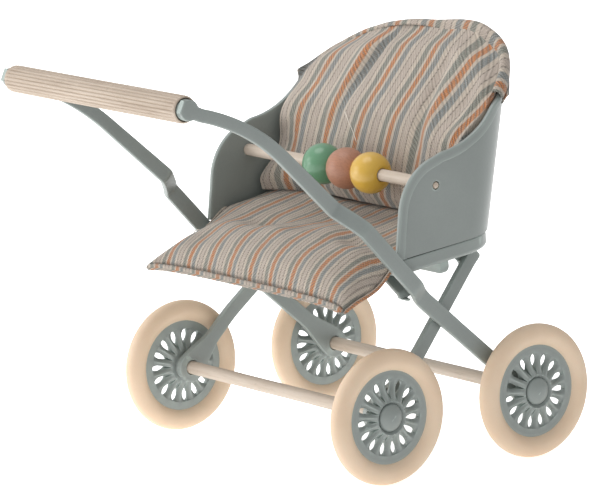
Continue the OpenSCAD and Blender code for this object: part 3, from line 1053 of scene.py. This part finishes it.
def lattice(name, counts, shape, weave, material, replaces):
    """The closed skin of a block of cells bent by shape(u, v, w), each from 0 to 1."""
    nu, nv, nw = counts
    index, verts, coords = {}, [], []

    def vertex(i, j, k):
        key = (i, j, k)
        if key not in index:
            u, v, w = i / nu, j / nv, k / nw
            index[key] = len(verts)
            verts.append(shape(u, v, w))
            coords.append(weave(u, v, w, verts[-1]))
        return index[key]

    faces = []
    for a, b, c in ((0, 1, 2), (0, 2, 1), (1, 2, 0)):
        for i in range(counts[a]):
            for j in range(counts[b]):
                for k in (0, counts[c]):
                    face = []
                    for di, dj in ((0, 0), (1, 0), (1, 1), (0, 1)):
                        key = [0, 0, 0]
                        key[a], key[b], key[c] = i + di, j + dj, k
                        face.append(vertex(*key))
                    faces.append(face)
    return piece(name, verts, faces, material, "root", "striped_cloth", replaces, sharp=0,
                 weave=coords)


def puff(obj, pressure, cap):
    """Blows the pad up as cloth, at ten times its size, and moves no point further than cap."""
    scale, stiffness, frames = 10.0, 12.0, 20
    rest = np.array([v.co for v in obj.data.vertices], float)
    copy = linked("puff", obj.data.copy())
    copy.data.transform(Matrix.Scale(scale, 4))
    cloth_modifier = copy.modifiers.new("Cloth", "CLOTH")
    settings = cloth_modifier.settings
    settings.quality = 6
    settings.mass = 0.3
    settings.tension_stiffness = stiffness
    settings.compression_stiffness = stiffness
    settings.shear_stiffness = stiffness / 2
    settings.bending_stiffness = 0.6
    settings.use_pressure = True
    settings.uniform_pressure_force = pressure
    settings.effector_weights.gravity = 0
    cloth_modifier.collision_settings.use_collision = False
    scene = bpy.context.scene
    for number in range(1, frames + 1):
        scene.frame_set(number)
    graph = bpy.context.evaluated_depsgraph_get()
    made = copy.evaluated_get(graph).to_mesh()
    moved = np.array([v.co for v in made.vertices], float) / scale
    copy.evaluated_get(graph).to_mesh_clear()
    bpy.data.objects.remove(copy)
    scene.frame_set(1)
    shift = moved - rest
    size = np.linalg.norm(shift, axis=1)[:, None]
    limit = cap * MM
    shift = shift * (limit * np.tanh(size / limit) / np.maximum(size, 1e-9))
    obj.data.vertices.foreach_set("co", (rest + shift).astype(np.float32).ravel())
    obj.data.update()


def wrinkle(obj, amount, size, seed):
    """Small uneven swellings, pushed along the normals."""
    for v in obj.data.vertices:
        p = v.co / (size * MM)
        n = noise.noise((p.x + seed, p.y, p.z))
        n += 0.5 * noise.noise((2.1 * p.x, 2.1 * p.y + seed, 2.1 * p.z))
        v.co += v.normal * (amount * MM * n)


def soften(obj):
    sub = obj.modifiers.new("Subdivision", "SUBSURF")
    sub.levels = sub.render_levels = 1
    apply_modifiers(obj)
    obj.data.shade_smooth()


# Side view of the seat cushion's side edge, top and underside: (share of its depth, y, z)
SEAT_SIDE = [(0.0, 10.0, 71.2), (0.14, 3.0, 70.9), (0.3, -7.4, 68.4), (0.46, -15.0, 65.2),
             (0.56, -20.6, 61.6), (0.66, -26.0, 58.3), (0.74, -30.3, 56.4), (0.82, -34.3, 54.8),
             (0.9, -37.6, 53.3), (0.96, -39.8, 52.3), (1.0, -41.0, 51.9)]
SEAT_TOP = [(0.0, 10.0, 72.0), (0.14, 4.0, 71.4), (0.22, -1.0, 70.0), (0.3, -7.4, 68.4),
            (0.46, -15.0, 67.4), (0.56, -20.6, 67.3), (0.66, -25.5, 67.0), (0.74, -30.0, 65.6),
            (0.82, -33.7, 63.3), (0.9, -36.7, 60.4), (0.96, -38.5, 57.6), (1.0, -39.5, 54.8)]
SEAT_UNDER = [(0.0, 10.0, 65.6), (0.14, 3.0, 64.8), (0.3, -7.4, 63.4), (0.46, -15.0, 62.3),
              (0.56, -19.6, 61.2), (0.62, -22.4, 58.9), (0.68, -25.4, 56.6), (0.74, -28.6, 54.7),
              (0.82, -32.4, 53.1), (0.9, -35.8, 52.3), (0.96, -38.0, 52.1), (1.0, -39.3, 52.3)]

# Half its width: (share of its depth, x)
SEAT_HALF = [(0, 43.6), (0.4, 43.8), (0.5, 44.2), (0.6, 45.4), (0.8, 47.0), (1, 48.6)]


def track(points, t):
    """(y, z) on one of the tables above."""
    return (float(curve([(a, y) for a, y, z in points], t)),
            float(curve([(a, z) for a, y, z in points], t)))


def seat_lumps(x, y):
    """Where the filling has gathered or sagged: millimetres up at a place on the top."""
    lumps = [(-19, -19, 8, 4.5, -2.4), (-30, -31, 7, 5, -1.6), (-39, -8, 9, 8, 2.0),
             (14, -14, 11, 9, 1.7), (27, -19, 5, 3.2, -2.2), (34, -26, 7, 5, 1.0),
             (-2, -27, 9, 4, 0.7), (5, -6, 9, 5, -0.5), (38, -12, 6, 5, -0.8)]
    return sum(h * exp(-((x - a) / ra) ** 2 - ((y - b) / rb) ** 2)
               for a, b, ra, rb, h in lumps)


def seat_shape(u, v, w):
    """u runs from side to side, v from the back to the front hem, w from the underside up."""
    s = 2 * u - 1
    half = float(curve(SEAT_HALF, v))
    x = s * half
    ys, zs = track(SEAT_SIDE, v)
    yt, zt = track(SEAT_TOP, v)
    yb, zb = track(SEAT_UNDER, v)
    top_crown = (1 - abs(s) ** 3.2) ** 0.7 if abs(s) < 1 else 0.0
    low_crown = (1 - abs(s) ** 6) ** 0.5 if abs(s) < 1 else 0.0
    if s < 0:
        zs += 1.7 * smooth(0.8, 1.0, -s) * bump(v, 0.43, 0.14)
        x -= 1.2 * smooth(0.8, 1.0, -s) * bump(v, 0.46, 0.1)
    else:
        x += 1.0 * smooth(0.8, 1.0, s) * bump(v, 0.76, 0.12)
        zs -= 0.8 * smooth(0.8, 1.0, s) * bump(v, 0.66, 0.12)
    top = np.array((ys + (yt - ys) * top_crown, zs + 0.8 + (zt - zs - 0.8) * top_crown))
    top[1] += seat_lumps(x, yt) * top_crown
    low = np.array((ys + (yb - ys) * low_crown, zs - 0.8 + (zb - zs + 0.8) * low_crown))
    y, z = low + (top - low) * w
    return (x, y, z)


def seat_weave(u, v, w, p):
    """Millimetres across and along the stripes, which waver over the front fold."""
    x, y, z = p
    across = x + 1.2 * exp(-((y + 20) / 4) ** 2) * sin(x / 9)
    if w == 0:
        across += 4
    return (across, v * 66 + w * 6, 0)


seat = lattice("seat_cushion_pad", (88, 72, 3), seat_shape, seat_weave, SEAT_CLOTH,
               ["seat_cushion"])
puff(seat, 4.0, 0.9)
wrinkle(seat, 0.32, 11, 3.0)
soften(seat)

# The back cushion's front face, in the middle and at its sides: (z, y)
BACK_FACE = [(72, 2.4), (76, 2.7), (84, 4.7), (92, 7.4), (98, 10.0), (108, 17.0), (119, 24.6),
             (124, 27.4), (127, 28.8)]
BACK_EDGE = [(72, -3.0), (76, -1.8), (83.4, 4.4), (98.4, 8.2), (104, 14.6), (110.8, 19.4),
             (115, 23.0), (127, 31)]
BACK_BOTTOM = 71.7


def metal_y(x, z):
    """How far back the middle of the shell's sheet is at a place in the front view."""
    x = min(abs(x), SEAT_HW - 0.6)
    depth = SEAT_REAR - 0.5
    if x > FLAT:
        depth += sqrt(max(0.0, (CORNER - 0.5) ** 2 - (x - FLAT) ** 2)) - CORNER + 0.5
    h = (z - LEAN_Z + depth * sin(LEAN)) / cos(LEAN)
    return lean(0, depth, h)[1]


def swell(x):
    """How far the filling bulges up over the metal's edge."""
    return 5.0 * bump(x, 26, 17)


def back_top(s):
    """Height of the cushion's upper edge, from side to side, just over the metal's."""
    x = s * 45.3
    return arch_z(x) + 0.7 + 0.8 * swell(x)


def back_creases(x, z):
    """Puckers that run down from the top seam, in millimetres towards the front."""
    left = bump(x, -11 - 0.16 * (122 - z), 1.7) * smooth(86, 118, z)
    left -= 0.9 * bump(x, -16.5 - 0.16 * (122 - z), 3.4) * smooth(88, 118, z)
    right = bump(x, 19 + 0.16 * (118 - z), 1.9) * bump(z, 102, 15)
    right -= 0.9 * bump(x, 24.5 + 0.2 * (118 - z), 3.0) * bump(z, 104, 15)
    far = bump(x, 36 + 0.1 * (112 - z), 2.2) * bump(z, 105, 10)
    far -= 0.6 * bump(x, 40.5 + 0.1 * (112 - z), 2.4) * bump(z, 106, 10)
    return -2.3 * left - 2.0 * right - 1.3 * far


def back_shape(u, v, w):
    """w runs from the face that shows, 0, to the face against the metal, 1."""
    s = sin((2 * u - 1) * pi / 2 * 0.9) / sin(pi / 2 * 0.9)
    z_top = back_top(s)
    z = BACK_BOTTOM + (z_top - BACK_BOTTOM) * v
    half = 44.0 + (1.3 if s > 0 else 1.9) * smooth(97, 106, z)
    x = s * half
    side = abs(s)
    y_mid = float(curve(BACK_FACE, z))
    y_edge = float(curve(BACK_EDGE, z))
    y_face = y_mid + (y_edge - y_mid) * smooth(0.5, 1.0, side) ** 1.4
    y_face -= 1.5 * (1 - side**2) * bump(z, 100, 15)
    y_face += 2.6 * (1 - smooth(71.7, 75.5, z)) * (1 - 0.4 * side)
    y_face -= back_creases(x, z) * (1 - side**6)
    y_wall = metal_y(x, z) - 0.8
    rim = smooth(0.86, 1.0, v) ** 1.3
    y_face += (metal_y(x, z) - 0.9 - y_face) * rim
    y_wall = max(y_wall, y_face + 0.9)
    return (x, y_face + (y_wall - y_face) * w, z)


def back_weave(u, v, w, p):
    """Millimetres across and along the stripes, which the filling draws aside."""
    x, y, z = p
    across = x - 1.4 * bump(x, -13, 4.5) * smooth(96, 120, z)
    across -= 0.26 * smooth(12, 46, x) * max(0.0, z - 94)
    across += 1.3 * bump(x, 20, 5.5) * bump(z, 104, 12)
    across += 0.8 * sin(z * 0.09)
    return (across, z + w * 8, 0)


back = lattice("back_cushion_pad", (88, 70, 4), back_shape, back_weave, BACK_CLOTH,
               ["back_cushion"])
puff(back, 3.0, 0.8)
wrinkle(back, 0.28, 12, 8.0)
soften(back)


def cover():
    """The band from the front seam over the metal's edge, and the panel that hangs behind it."""
    edge = [(p, h) for p, h in full_outline(1.0) if wall(p, h)[2] > 107.5]
    drop = 14
    verts, coords = [], []
    run = 0.0
    for i, (p, h) in enumerate(edge):
        x, y, z = wall(p, h)
        if i:
            run += dist(edge[i], edge[i - 1])
        ahead, behind = edge[min(i + 1, len(edge) - 1)], edge[max(i - 1, 0)]
        tangent = Vector((ahead[0] - behind[0], ahead[1] - behind[1])).normalized()
        up = Vector((tangent.y, -tangent.x))
        if up.y < 0:
            up = -up
        row = []
        more = swell(x)
        for back_off, rise, share in ((-1.9, -0.9, 0), (-1.8, -0.1, 0.9), (-1.3, 0.35, 1),
                                      (-0.6, 0.55, 1), (0.2, 0.5, 0.9), (0.8, 0.15, 0.6),
                                      (1.05, -0.5, 0.2), (1.1, -1.5, 0)):
            rise += more * share
            row.append(Vector(wall(p + up.x * rise, h + up.y * rise, back_off)))
        bottom = 107.2 + 0.7 * sin(run * 0.11)
        low = (bottom - LEAN_Z + plan(p)[1] * sin(LEAN)) / cos(LEAN)
        for k in range(1, drop + 1):
            f = k / drop
            flare = 1.1 + (0.25 + 0.2 * sin(run * 0.35)) * f
            row.append(Vector(wall(p, h - 1.5 + (min(low, h - 2.2) - h + 1.5) * f, flare)))
        length = 0.0
        for k, q in enumerate(row):
            length += (q - row[max(k - 1, 0)]).length
            verts.append(tuple(q))
            coords.append((0.93 * run + 9, length, 0))
    faces = quads(len(edge), 8 + drop)
    obj = piece("back_cover_cloth", verts, faces, BACK_CLOTH, "root", "striped_cloth",
                ["back_cover"], sharp=0, weave=coords)
    wrinkle(obj, 0.18, 9, 5.0)
    thick = obj.modifiers.new("Solidify", "SOLIDIFY")
    thick.thickness, thick.offset = 0.0004, 1.0
    apply_modifiers(obj)
    soften(obj)


cover()


def cord_tube(name, points, r, material, flatten=1.0, weave=None, steps=10):
    """A round or flattened hem or thread along a path. weave: (share of X, shift, twist)."""
    path, t = eased(points, 0.5, 1.0)
    share, shift, twist = weave or (0, 0, 0)
    verts, coords = [], []
    for i, p in enumerate(path):
        tangent = heading(path, i)
        side_way = tangent.cross(Vector((0, 0, 1))).normalized()
        up = side_way.cross(tangent).normalized()
        size = r * (0.35 + 0.65 * float(smooth(0, 1.0, min(t[i], t[-1] - t[i]))))
        size *= 1 + 0.10 * noise.noise((t[i] * 0.45, 2.0, 7.0))
        for k in range(steps):
            a = 2 * pi * k / steps
            rim = Vector(p) + side_way * (size * flatten * cos(a))
            verts.append(rim + up * (size * sin(a)))
            coords.append((share * p[0] + shift + twist * k, t[i], 0))
    faces = quads(len(path), steps, True) + caps(len(path), steps)
    return piece(name, verts, faces, material, "root", "striped_cloth", sharp=0,
                 weave=coords if weave else None)


def on_face(obj, x, z, gap):
    """Point just in front of a cushion at a place in the front view, in millimetres."""
    start = obj.matrix_world.inverted() @ at(x, -80, z)
    hit, where, _, _ = obj.ray_cast(start, Vector((0, 1, 0)))
    y = millimetres(obj.matrix_world @ where)[1] if hit else 5.0
    return (x, y - gap, z)


front_hem = [seat_shape(u, 1.0, 0.5) for u in np.linspace(0.005, 0.995, 40)]
front_hem = [(x, y - 0.45, z + 0.1) for x, y, z in front_hem]
cord_tube("seat_front_hem", front_hem, 1.05, HEM_CLOTH, 0.85, (1, 3, 0.3))
for u, hand, r, shift in ((0.0, "left", 0.5, -44), (1.0, "right", 0.6, 49)):
    side_hem = [seat_shape(u, v, 0.5) for v in np.linspace(0.42, 0.99, 26)]
    cord_tube(f"seat_{hand}_hem", side_hem, r, HEM_CLOTH, 0.8, (0, shift, 0.3))
loose = [(-13.4, 98.4), (-11.5, 97.4), (-9, 95.4), (-6.4, 93.6), (-4.2, 91.6), (-3.2, 90.4)]
loose = [on_face(back, x, z, 0.12) for x, z in loose]
cord_tube("back_loose_thread", loose, 0.13, THREAD, steps=6)
loop = [(-45.6 - 0.75 * cos(a), -23.6 - 1.3 * cos(a), 60.6 + 1.5 * sin(a))
        for a in np.linspace(-2.6, 2.9, 22)]
cord_tube("seat_loose_loop", loop, 0.12, THREAD, steps=6)


# ---------------------------------------------------------------- camera, lights, floor

def camera():
    """Long lens, low, from the right-hand front of the handle side."""
    azimuth, elevation, roll = (radians(a) for a in (53.02, 10.28, -1.15))
    right = Vector((cos(azimuth), sin(azimuth), 0))
    back_way = Vector((sin(azimuth) * cos(elevation),
                       -cos(azimuth) * cos(elevation), sin(elevation)))
    up = back_way.cross(right)
    right, up = (right * cos(roll) + up * sin(roll),
                 up * cos(roll) - right * sin(roll))
    data = bpy.data.cameras.new("camera")
    data.lens, data.sensor_width = 298.2, 36.0
    data.clip_start, data.clip_end = 0.05, 30
    obj = linked("camera", data)
    where = at(0, 0, 60) + (right * -15.56 + up * -1.20 + back_way * 1483.5) * MM
    obj.matrix_world = Matrix((
        (right.x, up.x, back_way.x, where.x), (right.y, up.y, back_way.y, where.y),
        (right.z, up.z, back_way.z, where.z), (0, 0, 0, 1)))
    bpy.context.scene.camera = obj


def area_light(name, where, size, energy):
    """A round soft light that faces the seat."""
    data = bpy.data.lights.new(name, "AREA")
    data.shape, data.size, data.energy = "DISK", size, energy
    obj = linked(name, data)
    obj.location = where
    away = Vector(where) - Vector((0, 0, 0.06))
    obj.rotation_euler = away.to_track_quat("Z", "Y").to_euler()


def studio():
    """Pale floor, a sky brighter towards the key light, and two soft lights."""
    bm = bmesh.new()
    bmesh.ops.create_grid(bm, x_segments=4, y_segments=4, size=6)
    mesh = bpy.data.meshes.new("floor")
    bm.to_mesh(mesh)
    bm.free()
    floor = linked("floor", mesh)
    mesh.materials.append(floor_material())
    world = bpy.data.worlds.new("studio")
    world.use_nodes = True
    tree = world.node_tree
    where = tree.nodes.new("ShaderNodeTexCoord")
    facing = tree.nodes.new("ShaderNodeVectorMath")
    facing.operation = "DOT_PRODUCT"
    facing.inputs[1].default_value = (-0.6, -0.6, 0.5)
    shade = tree.nodes.new("ShaderNodeMapRange")
    shade.inputs["From Min"].default_value = -0.6
    shade.inputs["To Min"].default_value = 0.3
    shade.inputs["To Max"].default_value = 0.95
    tree.links.new(where.outputs["Generated"], facing.inputs[0])
    tree.links.new(facing.outputs["Value"], shade.inputs["Value"])
    tree.links.new(shade.outputs["Result"], tree.nodes["Background"].inputs[1])
    tree.nodes["Background"].inputs[0].default_value = (1, 1, 1, 1)
    bpy.context.scene.world = world
    area_light("key", (-0.7, -0.9, 0.3), 0.7, 3)
    area_light("top", (-0.2, -0.2, 1.2), 0.8, 3)
    bpy.context.scene.view_settings.view_transform = "Standard"


camera()
studio()
